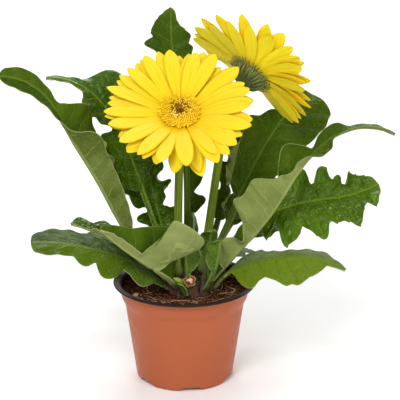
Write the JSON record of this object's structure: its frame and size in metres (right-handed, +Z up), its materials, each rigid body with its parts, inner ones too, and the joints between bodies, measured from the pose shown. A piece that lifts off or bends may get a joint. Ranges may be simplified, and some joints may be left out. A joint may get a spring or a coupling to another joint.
{
  "type": "potted gerbera daisy",
  "caption": "Flowering gerbera daisy plant in a tapered nursery pot: lobed leaves in a rosette round a crown, and yellow flowers on bare stalks. It stands on the pot's underside.",
  "frame": {"origin": "Middle of the pot's flat underside.", "axes": "+Z up, along the pot's own axis. -Y is the front, which the open flower faces and the picture was taken from. +X is to the right of a viewer at the front."},
  "size_m": [0.3131, 0.1872, 0.3073],
  "materials": {
    "pot": "thin terracotta-coloured moulded plastic, satin",
    "soil": "damp loose peat with bits of bark, dull",
    "crown": "fibrous leaf bases, dull",
    "leaf": "soft leaf, satin above and dull below",
    "young_leaf": "soft young leaf, satin",
    "stalk": "fleshy stalk, satin with a fine down",
    "bract": "downy green bracts, dull",
    "petal": "smooth yellow petals, satin",
    "disc": "crowded orange florets, dull"
  },
  "bodies": {
    "root": {"pot": "pot", "soil": "soil", "crown": "crown", "leaf_left_tall": "leaf", "leaf_left_rear": "leaf", "leaf_top": "leaf", "leaf_right_rear": "leaf", "leaf_right_inner": "leaf", "leaf_right_tall": "leaf", "leaf_right_lobed": "leaf", "leaf_right_low": "leaf", "leaf_left_low": "leaf", "leaf_front_left": "leaf", "leaf_left_small": "leaf", "leaf_inner_left": "leaf", "leaf_back_right": "leaf", "leaf_back_low": "leaf", "leaf_back_left": "leaf", "leaf_back_side": "leaf", "leaf_back_middle": "leaf", "leaf_back_left_low": "leaf", "leaf_back_right_low": "leaf", "young_front": "young_leaf", "young_middle": "young_leaf", "young_right": "young_leaf", "young_foot": "young_leaf", "young_centre": "young_leaf", "stalk_front": "stalk", "bracts_front": "bract", "rays_front": "petal", "disc_front": "disc", "stalk_rear": "stalk", "bracts_rear": "bract", "rays_rear": "petal", "disc_rear": "disc"}
  },
  "joints": []
}
